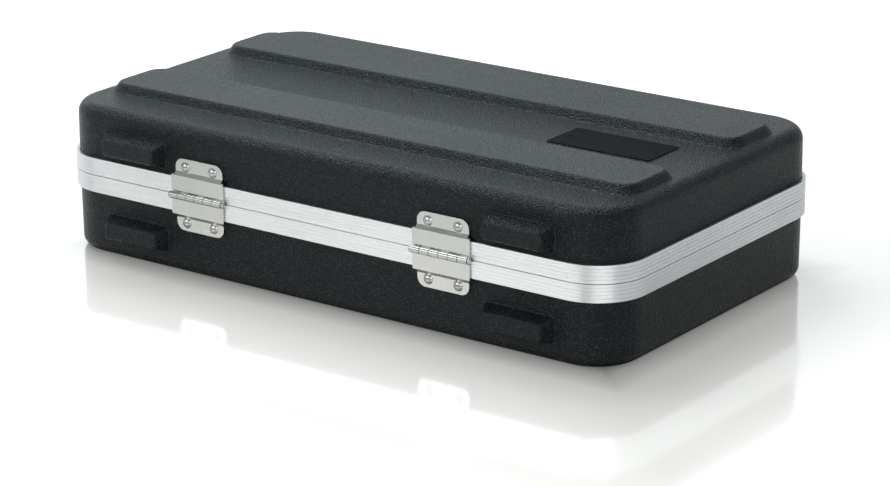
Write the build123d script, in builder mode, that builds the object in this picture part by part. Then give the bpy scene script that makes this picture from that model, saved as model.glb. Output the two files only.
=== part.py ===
import os
from math import atan, cos, degrees, radians, sin, tan

from build123d import *

os.makedirs("parts", exist_ok=True)

# Hard microphone case, millimetres. X runs along the case, Z is up, the handle and locks face -Y
# and the strap hinges face +Y. The origin is on the floor, under the middle of the case.

# case
valance_length = 510.0
valance_width = 288.0
valance_proud = 2.6          # the aluminium stands this far off the shell wall
corner_radius = 37.0         # shell corner in plan, at the rim
wall = 3.5
draft_angle = 0.5
parting_height = 63.25
seam = 0.4                   # open line between the two valances
lid_top = 116.0
base_edge_radius = 8.0
lid_edge_radius = 10.0
body_gap = 0.05              # between pieces of one body that nest
flat_depth = 3.0             # how deep a moulded hardware flat reaches into the wall
flat_inset = 0.8             # the hardware hides the edge of its flat by this much

shell_length = valance_length - 2 * valance_proud
shell_width = valance_width - 2 * valance_proud
half_width = shell_width / 2
draft_slope = tan(radians(draft_angle))

# lid ribs
rib_height = 6.7
rib_crest_length = 472.0
rib_inner_edge = 42.0        # crest edges, measured from the middle of the lid
rib_outer_edge = 95.5
rib_slope_run = 5.0
rib_corner = 12.0
rib_edge_round = 2.5

# feet pads on the hinge side
pad_offset = 175.0
pad_proud = 10.0
pad_face_length = 50.0
pad_face_height = 12.5
pad_foot_length = 63.0
pad_foot_height = 22.0
pad_face_drop = 1.0          # the face sits this much below the middle of its foot
base_pad_drop = 38.75        # middle of a foot, below the parting line
lid_pad_rise = 27.25         # and above it
pad_corner = 3.5
pad_round = 2.0

# valance section
valance_height = 13.5       # each half, from the middle of the seam
valance_web = 2.0
lid_valance_web = 6.2
valance_flange = 1.6
valance_flange_height = 7.5
flange_gap = 0.35
lip_round = 1.0
groove_count = 4
groove_depth = 0.15
groove_width = 0.6
tongue_height = 3.5
tongue_base = 2.0
tongue_top = 1.0
tongue_offset = 2.1          # middle of the tongue, inwards from the shell face
tongue_gap = 0.4

# strap hinges
hinge_offset = 111.6
strap_thickness = 1.5
strap_gap = 0.1              # between the strap and the valance under it
barrel_radius = 2.8
pin_radius = 1.5
pin_gap = 0.05
knuckle_count = 6
knuckle_gap = 0.45
barrel_swing_gap = 0.5
strap_width = 49.5
tab_width = 45.0
tab_reach = 28.0             # from the parting line to the end of a tab
tab_corner = 7.0
joggle_height = 3.0
joggle_clear = 0.8
hinge_rivet_spacing = 26.0
hinge_rivet_reach = 21.7
pin_head_radius = 2.1
pin_head_length = 1.2

# rivets
rivet_head_radius = 4.0
rivet_head_height = 2.2
rivet_shank_radius = 2.0
small_rivet_scale = 0.8

# locks
lock_offset = 152.0
lock_flange_height = 28.0
lock_flange_thickness = 1.3
hardware_gap = 0.5           # between the base valance and the hardware under it
lock_body_height = 25.0
lock_body_depth = 9.2
lock_body_round = 2.0
lock_rivet_spacing = 62.0
lock_rivet_margin = 4.0      # middle of a rivet to the end of the flange and to the raised body
hasp_thickness = 1.3
hasp_gap = 0.3               # between the hasp and the lock body
hasp_valance_gap = 2.5       # between the lid valance and the hasp barrel
hasp_barrel_radius = 2.5
hasp_pin_radius = 1.3
hasp_knuckle_count = 5
hasp_top_width = 24.0
hasp_width = 18.0
hasp_drop = 5.5              # end of the hasp, below the middle of the lock
hasp_lip = 2.8
hasp_lip_height = 5.0
staple_thickness = 2.5
staple_rise = 1.5            # foot of the staple, above the middle of the lock
staple_height = 8.0
staple_depth = 3.7           # how near the wall the staple reaches
eye_height = 4.2
eye_depth = 2.7
staple_end = 1.2
bolt_height = 3.0
bolt_thickness = 2.1
bolt_travel = 6.0
bolt_length = 19.2
slide_gap = 0.1
slot_half_width = 3.0
button_width = 7.0
button_height = 7.0
button_thickness = 2.0
button_stem = 5.0
cylinder_offset = 18.5
cylinder_radius = 4.75
cylinder_depth = 5.7
keyway_width = 1.4
keyway_length = 6.0
lid_plate_width = 34.0
lid_plate_reach = 14.7       # above the hasp pivot
lid_plate_rivet_reach = 9.5
lid_plate_rivet_spacing = 22.0

# handle
bracket_offset = 66.0
bracket_width = 32.0
bracket_height = 25.0
bracket_thickness = 1.5
bracket_rivet_spacing_x = 23.0
bracket_rivet_spacing_z = 16.0
ear_thickness = 1.4
ear_radius = 5.0
ear_gap = 0.3
handle_pivot_rise = 6.0      # above the middle of its bracket
handle_pivot_out = 9.5
handle_pin_radius = 2.5
lug_width = 10.0
lug_radius = 6.0
grip_drop = 26.0
grip_out = 11.0
grip_height = 15.0
grip_depth = 18.0
grip_round = 6.0
grip_end_round = 3.0
finger_count = 4
finger_radius = 22.0
finger_depth = 1.6

# foam
foam_gap = 1.0
foam_floor_thickness = 12.0
foam_joint = 0.2
tray_drop = 2.25             # below the parting line
mic_count = 6
mic_pitch = 62.0
mic_first = -205.0
mic_head_radius = 27.0
mic_head_reach = 78.0
mic_neck_width = 38.0
mic_tail_width = 28.0
mic_tail_reach = 90.0
bay_start = 142.0
bay_length = 90.0
bay_width = 210.0
bay_corner = 8.0
lid_foam_rise = 17.75        # above the parting line

# name plate, left bare
plate_length = 88.0
plate_width = 41.0
plate_thickness = 0.8
plate_offset = -159.6
plate_corner = 1.5
plate_rivet_inset = 6.5
plate_rivet_radius = 1.8
plate_rivet_height = 0.6

# planes
# Wall planes look at the case from outside: local X and Y are along and up, local Z is outwards.
front_wall = Plane(origin=(0, -half_width, 0), x_dir=(1, 0, 0), z_dir=(0, -1, 0))
back_wall = Plane(origin=(0, half_width, 0), x_dir=(-1, 0, 0), z_dir=(0, 1, 0))
# Section planes cut through the wall: local X is outwards, local Y is up.
front_section = Plane(origin=(0, -half_width, 0), x_dir=(0, -1, 0), z_dir=(-1, 0, 0))
back_section = Plane(origin=(0, half_width, 0), x_dir=(0, 1, 0), z_dir=(1, 0, 0))


def sections(plane, places):
    """Copies of a section plane, one at each place along X."""
    return [plane.offset(x * plane.z_dir.X) for x in places]


def keep(piece, name):
    piece.label = name
    export_step(piece, f"parts/{name}.step")


def drafted_block(length, width, radius, height, edge_radius, grow_up):
    """Rounded block that narrows away from its rim at z = 0, with its far edge rounded."""
    with BuildPart() as block:
        with BuildSketch():
            RectangleRounded(length, width, radius)
        extrude(amount=height if grow_up else -height, taper=draft_angle)
        far_face = block.faces().sort_by(Axis.Z)[-1 if grow_up else 0]
        fillet(far_face.edges(), edge_radius)
    return block.part


def wall_spots(plane, spots):
    """Locations on a wall plane for (along, up) pairs."""
    return [plane.location * Location((along, up, 0)) for along, up in spots]


def rivet(scale, grip):
    """Domed rivet along Z, with the underside of its head at z = 0."""
    with BuildPart() as body:
        with BuildSketch(Plane.XZ):
            with BuildLine():
                head = rivet_head_radius * scale
                rise = rivet_head_height * scale
                RadiusArc((0, rise), (head, 0), (head ** 2 + rise ** 2) / (2 * rise))
                Polyline((0, rise), (0, -grip), (rivet_shank_radius * scale, -grip),
                         (rivet_shank_radius * scale, 0), (head, 0))
            make_face()
        revolve(axis=Axis.Z)
    return body.part


# shells
base_rim = parting_height - seam / 2 - valance_web
lid_rim = parting_height + seam / 2 + lid_valance_web
base_valance_bottom = parting_height - valance_height
lid_valance_top = parting_height + valance_height
base_pad_height = parting_height - base_pad_drop
lid_pad_height = parting_height + lid_pad_rise
lock_flange_width = lock_rivet_spacing + 2 * lock_rivet_margin
lock_body_width = lock_rivet_spacing - 2 * lock_rivet_margin
lock_centre_height = base_valance_bottom - hardware_gap - lock_flange_height / 2
bracket_centre_height = base_valance_bottom - hardware_gap - bracket_height / 2
handle_pivot_height = bracket_centre_height + handle_pivot_rise
hasp_pivot_height = lid_valance_top + hasp_valance_gap + hasp_barrel_radius
hasp_bottom = lock_centre_height - hasp_drop
staple_bottom = lock_centre_height + staple_rise
staple_top = staple_bottom + staple_height
lid_plate_top = hasp_pivot_height + lid_plate_reach
lid_plate_rivet_height = hasp_pivot_height + lid_plate_rivet_reach
tray_top = parting_height - tray_drop
lid_foam_bottom = parting_height + lid_foam_rise
hinge_flat_middle = (valance_height + tab_reach) / 2
hinge_flat_height = tab_reach - valance_height - 2 * flat_inset
hinge_rivet_spots = [(side * hinge_offset + step * hinge_rivet_spacing / 2)
                     for side in (-1, 1) for step in (-1, 1)]
bracket_rivet_spots = [(side * bracket_offset + along * bracket_rivet_spacing_x / 2,
                        bracket_centre_height + up * bracket_rivet_spacing_z / 2)
                       for side in (-1, 1) for along in (-1, 1) for up in (-1, 1)]
lock_rivet_spots = [(side * lock_offset + step * lock_rivet_spacing / 2, lock_centre_height)
                    for side in (-1, 1) for step in (-1, 1)]
lid_plate_rivet_spots = [(side * lock_offset + step * lid_plate_rivet_spacing / 2,
                          lid_plate_rivet_height)
                         for side in (-1, 1) for step in (-1, 1)]


def shell_cavity(rim, height, edge_radius, clearance, grow_up):
    """Inside of a shell, or with a clearance the soft block that fills it."""
    inset = 2 * (wall + clearance)
    block = drafted_block(shell_length - inset, shell_width - inset,
                          corner_radius - wall - clearance, height - clearance,
                          edge_radius - wall, grow_up)
    return block.moved(Location((0, 0, rim)))


def foot_pad(height):
    """Moulded foot on the hinge wall, wider at the wall than at its face."""
    with BuildPart() as pad:
        with BuildSketch(back_wall.offset(-flat_depth)):
            with Locations((0, height)):
                RectangleRounded(pad_foot_length, pad_foot_height, pad_corner)
        with BuildSketch(back_wall.offset(pad_proud)):
            with Locations((0, height - pad_face_drop)):
                RectangleRounded(pad_face_length, pad_face_height, pad_corner)
        loft()
        fillet(pad.faces().sort_by(Axis.Y)[-1].edges(), pad_round)
    return pad.part


base_outer = drafted_block(shell_length, shell_width, corner_radius, base_rim,
                           base_edge_radius, False).moved(Location((0, 0, base_rim)))
base_cavity = shell_cavity(base_rim, base_rim - wall, base_edge_radius, 0, False)
base_pad = foot_pad(base_pad_height)

with BuildPart() as base_shell:
    add(base_outer)
    with Locations((-pad_offset, 0, 0), (pad_offset, 0, 0)):
        add(base_pad)
    # vertical flats that the hinges, locks and handle brackets sit on
    with BuildSketch(back_wall):
        with Locations(*[(side * hinge_offset, parting_height - hinge_flat_middle) for side in (-1, 1)]):
            Rectangle(tab_width - 2 * flat_inset, hinge_flat_height)
    extrude(amount=-flat_depth)
    with BuildSketch(front_wall):
        with Locations(*[(side * lock_offset, lock_centre_height) for side in (-1, 1)]):
            Rectangle(lock_flange_width - 2 * flat_inset, lock_flange_height - 2 * flat_inset)
        with Locations(*[(side * bracket_offset, bracket_centre_height) for side in (-1, 1)]):
            Rectangle(bracket_width - 2 * flat_inset, bracket_height - 2 * flat_inset)
    extrude(amount=-flat_depth)
    add(base_cavity, mode=Mode.SUBTRACT)
    with BuildSketch(back_wall):
        with Locations(*[(x, parting_height - hinge_rivet_reach) for x in hinge_rivet_spots]):
            Circle(rivet_shank_radius + body_gap)
    extrude(amount=-2 * wall, mode=Mode.SUBTRACT)
    with BuildSketch(front_wall):
        with Locations(*(bracket_rivet_spots + lock_rivet_spots)):
            Circle(rivet_shank_radius * small_rivet_scale + body_gap)
    extrude(amount=-2 * wall, mode=Mode.SUBTRACT)
keep(base_shell.part, "base_shell")

rib_taper = degrees(atan(rib_slope_run / rib_height))
rib_middle = (rib_inner_edge + rib_outer_edge) / 2
rib_crest_width = rib_outer_edge - rib_inner_edge
rib_top = lid_top + rib_height


def lid_rib(inset):
    """Raised rib, drawn at its crest and spreading downwards; inset makes its hollow."""
    depth = rib_height + wall / 2
    with BuildPart() as rib:
        with BuildSketch(Plane.XY.offset(rib_top - inset)):
            with Locations((0, rib_middle)):
                RectangleRounded(rib_crest_length - 2 * inset, rib_crest_width - 2 * inset,
                                 rib_corner - inset)
        extrude(amount=-depth, taper=-rib_taper)
        fillet(rib.faces().sort_by(Axis.Z)[-1].edges(), rib_edge_round)
    return rib.part


lid_outer = drafted_block(shell_length, shell_width, corner_radius, lid_top - lid_rim,
                          lid_edge_radius, True).moved(Location((0, 0, lid_rim)))
lid_cavity = shell_cavity(lid_rim, lid_top - wall - lid_rim, lid_edge_radius, 0, True)
lid_pad = foot_pad(lid_pad_height)
raised_rib = lid_rib(0)
rib_hollow = lid_rib(wall)

with BuildPart() as lid_shell:
    add(lid_outer)
    add(raised_rib)
    add(mirror(raised_rib, about=Plane.XZ))
    with Locations((-pad_offset, 0, 0), (pad_offset, 0, 0)):
        add(lid_pad)
    with BuildSketch(back_wall):
        with Locations(*[(side * hinge_offset, parting_height + hinge_flat_middle) for side in (-1, 1)]):
            Rectangle(tab_width - 2 * flat_inset, hinge_flat_height)
    extrude(amount=-flat_depth)
    lid_flat_height = lid_plate_top - flat_inset - lid_rim
    with BuildSketch(front_wall):
        with Locations(*[(side * lock_offset, lid_rim + lid_flat_height / 2) for side in (-1, 1)]):
            Rectangle(lid_plate_width - 2 * flat_inset, lid_flat_height)
    extrude(amount=-flat_depth)
    add(lid_cavity, mode=Mode.SUBTRACT)
    add(rib_hollow, mode=Mode.SUBTRACT)
    add(mirror(rib_hollow, about=Plane.XZ), mode=Mode.SUBTRACT)
    with BuildSketch(back_wall):
        with Locations(*[(x, parting_height + hinge_rivet_reach) for x in hinge_rivet_spots]):
            Circle(rivet_shank_radius + body_gap)
    extrude(amount=-2 * wall, mode=Mode.SUBTRACT)
    with BuildSketch(front_wall):
        with Locations(*lid_plate_rivet_spots):
            Circle(rivet_shank_radius * small_rivet_scale + body_gap)
    extrude(amount=-2 * wall, mode=Mode.SUBTRACT)
keep(lid_shell.part, "lid_shell")


# valances
def rim_run(section_points, rounded):
    """Aluminium section carried round the rim; points are (outwards, up) from the shell face."""
    with BuildPart() as ring:
        with BuildLine() as half_rim:
            along = Line((0, -half_width), (corner_radius - shell_length / 2, -half_width))
            first = JernArc(along @ 1, (-1, 0), corner_radius, -90)
            across = Line(first @ 1, (-shell_length / 2, half_width - corner_radius))
            second = JernArc(across @ 1, (0, 1), corner_radius, -90)
            Line(second @ 1, (0, half_width))
        with BuildSketch(front_section) as section:
            with BuildLine():
                Polyline(*section_points, close=True)
            make_face()
            corners = [v for v in section.vertices()
                       if abs(v.Z - rounded) < 0.01 and abs(abs(v.Y) - half_width - valance_proud) < 0.01]
            fillet(corners, lip_round)
        sweep(path=half_rim.wires()[0])
        mirror(about=Plane.YZ)
    return ring.part


def grooved_face(low, high):
    """Outer face of a valance from low to high, with its shallow extruded grooves."""
    pitch = (high - low) / (groove_count + 1)
    points = [(valance_proud, low)]
    for number in range(1, groove_count + 1):
        middle = low + number * pitch
        floor = valance_proud - groove_depth
        points += [(valance_proud, middle - groove_width / 2), (floor, middle - groove_width / 4),
                   (floor, middle + groove_width / 4), (valance_proud, middle + groove_width / 2)]
    return points + [(valance_proud, high)]


inner_face = -wall - flange_gap
flange_face = inner_face - valance_flange
base_top = parting_height - seam / 2
lid_bottom = parting_height + seam / 2
base_valance_points = (
    [(body_gap, base_valance_bottom)]
    + grooved_face(base_valance_bottom, base_top)
    + [(-tongue_offset + tongue_base / 2, base_top),
       (-tongue_offset + tongue_top / 2, base_top + tongue_height),
       (-tongue_offset - tongue_top / 2, base_top + tongue_height),
       (-tongue_offset - tongue_base / 2, base_top),
       (flange_face, base_top), (flange_face, base_rim - valance_flange_height),
       (inner_face, base_rim - valance_flange_height), (inner_face, base_rim + body_gap),
       (body_gap, base_rim + body_gap)])
groove_half = tongue_base / 2 + tongue_gap
lid_valance_points = (
    [(body_gap, lid_valance_top), (body_gap, lid_rim - body_gap), (inner_face, lid_rim - body_gap),
     (inner_face, lid_rim + valance_flange_height / 2),
     (flange_face, lid_rim + valance_flange_height / 2),
     (flange_face, lid_bottom), (-tongue_offset - groove_half, lid_bottom),
     (-tongue_offset - groove_half, lid_bottom + tongue_height + tongue_gap),
     (-tongue_offset + groove_half, lid_bottom + tongue_height + tongue_gap),
     (-tongue_offset + groove_half, lid_bottom)]
    + grooved_face(lid_bottom, lid_valance_top))

base_valance = rim_run(base_valance_points, base_valance_bottom)
keep(base_valance, "base_valance")
lid_valance = rim_run(lid_valance_points, lid_valance_top)
keep(lid_valance, "lid_valance")

# strap hinges
strap_back = valance_proud + strap_gap
hinge_axis_out = strap_back + barrel_radius
joggle_start = valance_height + joggle_clear


def knuckle_places(width, count, first):
    """Middles along X of every second knuckle, starting with the one numbered first."""
    pitch = width / count
    return [-width / 2 + pitch * (number + 0.5) for number in range(first, count, 2)]


def strap_leaf(first_knuckle):
    """Stamped and joggled strap that rises from the parting line, with its knuckles."""
    level = parting_height
    pitch = strap_width / knuckle_count
    own = knuckle_places(strap_width, knuckle_count, first_knuckle)
    other = knuckle_places(strap_width, knuckle_count, 1 - first_knuckle)
    with BuildPart() as leaf:
        with BuildSketch(back_section):
            with BuildLine():
                Polyline((0, level + tab_reach), (0, level + joggle_start + joggle_height),
                         (strap_back, level + joggle_start), (strap_back, level),
                         (strap_back + strap_thickness, level),
                         (strap_back + strap_thickness, level + joggle_start + strap_thickness / 2),
                         (strap_thickness, level + joggle_start + joggle_height + strap_thickness / 2),
                         (strap_thickness, level + tab_reach), close=True)
            make_face()
        extrude(amount=strap_width / 2, both=True)
        with BuildSketch(back_wall) as blank:
            with Locations((0, level + tab_reach / 2)):
                Rectangle(tab_width, tab_reach)
            fillet(blank.vertices().group_by(Axis.Z)[-1], tab_corner)
            with Locations((0, level + (joggle_start + strap_thickness) / 2)):
                Rectangle(strap_width, joggle_start + strap_thickness)
        extrude(amount=hinge_axis_out, mode=Mode.INTERSECT)
        with BuildSketch(back_wall):
            swing = barrel_radius + barrel_swing_gap
            with Locations(*[(-x, level + swing / 2) for x in other]):
                Rectangle(pitch + knuckle_gap, swing)
        extrude(amount=hinge_axis_out, mode=Mode.SUBTRACT)
        with BuildSketch(*sections(back_section, own)):
            with Locations((hinge_axis_out, level)):
                Circle(barrel_radius)
        extrude(amount=(pitch - knuckle_gap) / 2, both=True)
        with BuildSketch(back_section):
            with Locations((hinge_axis_out, level)):
                Circle(pin_radius + pin_gap)
        extrude(amount=strap_width, both=True, mode=Mode.SUBTRACT)
        with BuildSketch(back_wall):
            with Locations(*[(step * hinge_rivet_spacing / 2, level + hinge_rivet_reach)
                             for step in (-1, 1)]):
                Circle(rivet_shank_radius + body_gap)
        extrude(amount=strap_thickness * 2, mode=Mode.SUBTRACT)
    return leaf.part


hinge_lid_leaf = strap_leaf(0)
hinge_base_leaf = mirror(strap_leaf(1), about=Plane.XY.offset(parting_height))

with BuildPart() as hinge_pin:
    with BuildSketch(back_section):
        with Locations((hinge_axis_out, parting_height)):
            Circle(pin_radius)
    extrude(amount=strap_width / 2 + pin_gap, both=True)
    for end in (-1, 1):
        with BuildSketch(back_section.offset(end * (strap_width / 2 + pin_gap))):
            with Locations((hinge_axis_out, parting_height)):
                Circle(pin_head_radius)
        extrude(amount=end * pin_head_length)

for side, place in (("left", -hinge_offset), ("right", hinge_offset)):
    keep(hinge_base_leaf.moved(Location((place, 0, 0))), f"hinge_{side}_base_leaf")
    keep(hinge_lid_leaf.moved(Location((place, 0, 0))), f"hinge_{side}_lid_leaf")
    keep(hinge_pin.part.moved(Location((place, 0, 0))), f"hinge_{side}_pin")

strap_rivet = rivet(1.0, wall + strap_thickness)
for half, level in (("base", parting_height - hinge_rivet_reach),
                    ("lid", parting_height + hinge_rivet_reach)):
    with BuildPart() as hinge_rivets:
        with Locations(*wall_spots(back_wall.offset(strap_thickness),
                                   [(x, level) for x in hinge_rivet_spots])):
            add(strap_rivet)
    keep(hinge_rivets.part, f"hinge_{half}_rivets")

# locks
hasp_back = lock_body_depth + hasp_gap
hasp_front = hasp_back + hasp_thickness
hasp_axis_out = hasp_front - hasp_barrel_radius
hasp_swing = hasp_barrel_radius + barrel_swing_gap
hasp_pitch = hasp_top_width / hasp_knuckle_count
plate_knuckles = knuckle_places(hasp_top_width, hasp_knuckle_count, 0)
hasp_knuckles = knuckle_places(hasp_top_width, hasp_knuckle_count, 1)
eye_middle = (staple_bottom + staple_top) / 2
bolt_back = staple_depth + staple_end + (eye_depth - bolt_thickness) / 2
bolt_nose = slot_half_width + 3 * slide_gap
button_middle = bolt_nose + bolt_length - button_width / 2


def front_bar(x_low, x_high, z_low, z_high, out_low, out_high):
    """Plain bar on the front wall, made outside any builder."""
    size_x, size_z, size_out = x_high - x_low, z_high - z_low, out_high - out_low
    centre = ((x_low + x_high) / 2, -half_width - (out_low + out_high) / 2, (z_low + z_high) / 2)
    return Pos(*centre) * Box(size_x, size_out, size_z)


bolt_low, bolt_high = eye_middle - bolt_height / 2, eye_middle + bolt_height / 2
staple_slot = front_bar(-slot_half_width, slot_half_width, staple_bottom - 2.5,
                        lock_centre_height + lock_flange_height, staple_depth - 0.5, lock_body_depth + 1)
bolt_channel = front_bar(bolt_nose - bolt_travel - 1, bolt_nose + bolt_length + slide_gap,
                         bolt_low - slide_gap, bolt_high + slide_gap,
                         bolt_back - slide_gap, bolt_back + bolt_thickness + slide_gap)
stem_half = button_stem / 2
stem_slot = front_bar(button_middle - stem_half - bolt_travel - slide_gap,
                      button_middle + stem_half + slide_gap,
                      bolt_low + 0.3, bolt_high - 0.3, bolt_back, lock_body_depth + 1)

with BuildPart() as lock_body:
    with BuildSketch(front_wall):
        with Locations((0, lock_centre_height)):
            RectangleRounded(lock_flange_width, lock_flange_height, 6)
    extrude(amount=lock_flange_thickness)
    with BuildSketch(front_wall):
        with Locations((0, lock_centre_height)):
            RectangleRounded(lock_body_width, lock_body_height, 4)
    extrude(amount=lock_body_depth)
    fillet(lock_body.faces().sort_by(Axis.Y)[0].edges(), lock_body_round)
    add(staple_slot, mode=Mode.SUBTRACT)
    add(bolt_channel, mode=Mode.SUBTRACT)
    add(stem_slot, mode=Mode.SUBTRACT)
    with BuildSketch(front_wall.offset(lock_body_depth)):
        with Locations((-cylinder_offset, lock_centre_height)):
            Circle(cylinder_radius + pin_gap)
    extrude(amount=-cylinder_depth - pin_gap, mode=Mode.SUBTRACT)
    with BuildSketch(front_wall):
        with Locations(*[(step * lock_rivet_spacing / 2, lock_centre_height) for step in (-1, 1)]):
            Circle(rivet_shank_radius * small_rivet_scale + body_gap)
    extrude(amount=lock_flange_thickness, mode=Mode.SUBTRACT)

bolt_bar = front_bar(bolt_nose, bolt_nose + bolt_length, bolt_low, bolt_high,
                     bolt_back, bolt_back + bolt_thickness)
bolt_stem = front_bar(button_middle - stem_half, button_middle + stem_half, bolt_low + 0.4,
                      bolt_high - 0.4, bolt_back, lock_body_depth + 2 * slide_gap)
with BuildPart() as lock_bolt:
    add(bolt_bar)
    add(bolt_stem)
    with BuildSketch(front_wall.offset(lock_body_depth + 2 * slide_gap)):
        with Locations((button_middle, eye_middle)):
            RectangleRounded(button_width, button_height, 1.5)
    extrude(amount=button_thickness)
    with BuildSketch(front_wall.offset(lock_body_depth + 2 * slide_gap + button_thickness)):
        with Locations((button_middle, eye_middle)):
            with GridLocations(button_width / 4, 0, 3, 1):
                Rectangle(button_width / 10, button_height)
    extrude(amount=-button_thickness / 3, mode=Mode.SUBTRACT)

with BuildPart() as lock_cylinder:
    with BuildSketch(front_wall.offset(lock_body_depth - cylinder_depth)):
        with Locations((-cylinder_offset, lock_centre_height)):
            Circle(cylinder_radius)
    extrude(amount=cylinder_depth + hasp_gap)
    chamfer(lock_cylinder.faces().sort_by(Axis.Y)[0].edges(), 0.5)
    with BuildSketch(front_wall.offset(lock_body_depth + hasp_gap)):
        with Locations((-cylinder_offset, lock_centre_height)):
            Rectangle(keyway_width, keyway_length)
    extrude(amount=-cylinder_depth / 2, mode=Mode.SUBTRACT)

staple_block = front_bar(-staple_thickness / 2, staple_thickness / 2, staple_bottom, staple_top,
                         staple_depth, hasp_back + 0.01)
staple_eye = front_bar(-staple_thickness, staple_thickness, eye_middle - eye_height / 2,
                       eye_middle + eye_height / 2, staple_depth + staple_end,
                       staple_depth + staple_end + eye_depth)
with BuildPart() as lock_hasp:
    with BuildSketch(front_section):
        with BuildLine():
            Polyline((hasp_back, hasp_pivot_height), (hasp_front, hasp_pivot_height),
                     (hasp_front, hasp_bottom + hasp_lip_height),
                     (hasp_front + hasp_lip, hasp_bottom),
                     (hasp_front + hasp_lip - hasp_thickness, hasp_bottom),
                     (hasp_back, hasp_bottom + hasp_lip_height), close=True)
        make_face()
    extrude(amount=hasp_top_width / 2, both=True)
    with BuildSketch(front_wall) as hasp_blank:
        with Locations((0, (hasp_pivot_height + hasp_bottom) / 2)):
            Rectangle(hasp_width, hasp_pivot_height - hasp_bottom)
        fillet(hasp_blank.vertices().group_by(Axis.Z)[0], 5)
        with Locations((0, hasp_pivot_height - hasp_top_width / 4)):
            Rectangle(hasp_top_width, hasp_top_width / 2)
    extrude(amount=hasp_front + 2 * hasp_lip, mode=Mode.INTERSECT)
    with BuildSketch(front_wall):
        with Locations(*[(x, hasp_pivot_height - hasp_swing / 2) for x in plate_knuckles]):
            Rectangle(hasp_pitch + knuckle_gap, hasp_swing)
    extrude(amount=hasp_front + 1, mode=Mode.SUBTRACT)
    with BuildSketch(*sections(front_section, hasp_knuckles)):
        with Locations((hasp_axis_out, hasp_pivot_height)):
            Circle(hasp_barrel_radius)
    extrude(amount=(hasp_pitch - knuckle_gap) / 2, both=True)
    add(staple_block)
    add(staple_eye, mode=Mode.SUBTRACT)
    with BuildSketch(front_section):
        with Locations((hasp_axis_out, hasp_pivot_height)):
            Circle(hasp_pin_radius + pin_gap)
    extrude(amount=hasp_top_width, both=True, mode=Mode.SUBTRACT)

arm_top = hasp_pivot_height + hasp_barrel_radius
with BuildPart() as lock_lid_plate:
    with BuildSketch(front_section):
        with BuildLine():
            Polyline((0, lid_plate_top), (hasp_thickness, lid_plate_top),
                     (hasp_thickness, arm_top + hasp_thickness), (hasp_axis_out, arm_top),
                     (hasp_axis_out, arm_top - hasp_thickness), (0, arm_top), close=True)
        make_face()
    extrude(amount=lid_plate_width / 2, both=True)
    with BuildSketch(front_wall) as plate_blank:
        with Locations((0, (lid_plate_top + arm_top) / 2)):
            Rectangle(lid_plate_width, lid_plate_top - arm_top)
        fillet(plate_blank.vertices().group_by(Axis.Z)[-1], 4)
        with Locations((0, arm_top)):
            Rectangle(hasp_top_width - knuckle_gap, 3 * hasp_thickness)
    extrude(amount=hasp_front, mode=Mode.INTERSECT)
    with BuildSketch(front_wall.offset(hasp_axis_out - hasp_swing)):
        with Locations(*[(x, arm_top) for x in hasp_knuckles]):
            Rectangle(hasp_pitch + knuckle_gap, 4 * hasp_thickness)
    extrude(amount=hasp_swing + 1, mode=Mode.SUBTRACT)
    with BuildSketch(*sections(front_section, plate_knuckles)):
        with Locations((hasp_axis_out, hasp_pivot_height)):
            Circle(hasp_barrel_radius)
    extrude(amount=(hasp_pitch - knuckle_gap) / 2, both=True)
    with BuildSketch(front_section):
        with Locations((hasp_axis_out, hasp_pivot_height)):
            Circle(hasp_pin_radius + pin_gap)
    extrude(amount=hasp_top_width, both=True, mode=Mode.SUBTRACT)
    with BuildSketch(front_wall):
        with Locations(*[(step * lid_plate_rivet_spacing / 2, lid_plate_rivet_height)
                         for step in (-1, 1)]):
            Circle(rivet_shank_radius * small_rivet_scale + body_gap)
    extrude(amount=2 * hasp_thickness, mode=Mode.SUBTRACT)

with BuildPart() as hasp_pin:
    with BuildSketch(front_section):
        with Locations((hasp_axis_out, hasp_pivot_height)):
            Circle(hasp_pin_radius)
    extrude(amount=hasp_top_width / 2, both=True)

for side, place in (("left", -lock_offset), ("right", lock_offset)):
    spot = Location((place, 0, 0))
    keep(lock_body.part.moved(spot), f"lock_{side}_body")
    keep(lock_bolt.part.moved(spot), f"lock_{side}_bolt")
    keep(lock_cylinder.part.moved(spot), f"lock_{side}_cylinder")
    keep(lock_hasp.part.moved(spot), f"lock_{side}_hasp")
    keep(lock_lid_plate.part.moved(spot), f"lock_{side}_lid_plate")
    keep(hasp_pin.part.moved(spot), f"lock_{side}_hasp_pin")

body_rivet = rivet(small_rivet_scale, wall + lock_flange_thickness)
with BuildPart() as lock_body_rivets:
    with Locations(*wall_spots(front_wall.offset(lock_flange_thickness), lock_rivet_spots)):
        add(body_rivet)
keep(lock_body_rivets.part, "lock_body_rivets")
with BuildPart() as lock_lid_rivets:
    with Locations(*wall_spots(front_wall.offset(hasp_thickness), lid_plate_rivet_spots)):
        add(body_rivet)
keep(lock_lid_rivets.part, "lock_lid_rivets")

# handle
ear_middle = (lug_width + ear_thickness) / 2 + ear_gap
grip_level = handle_pivot_height - grip_drop

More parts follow.
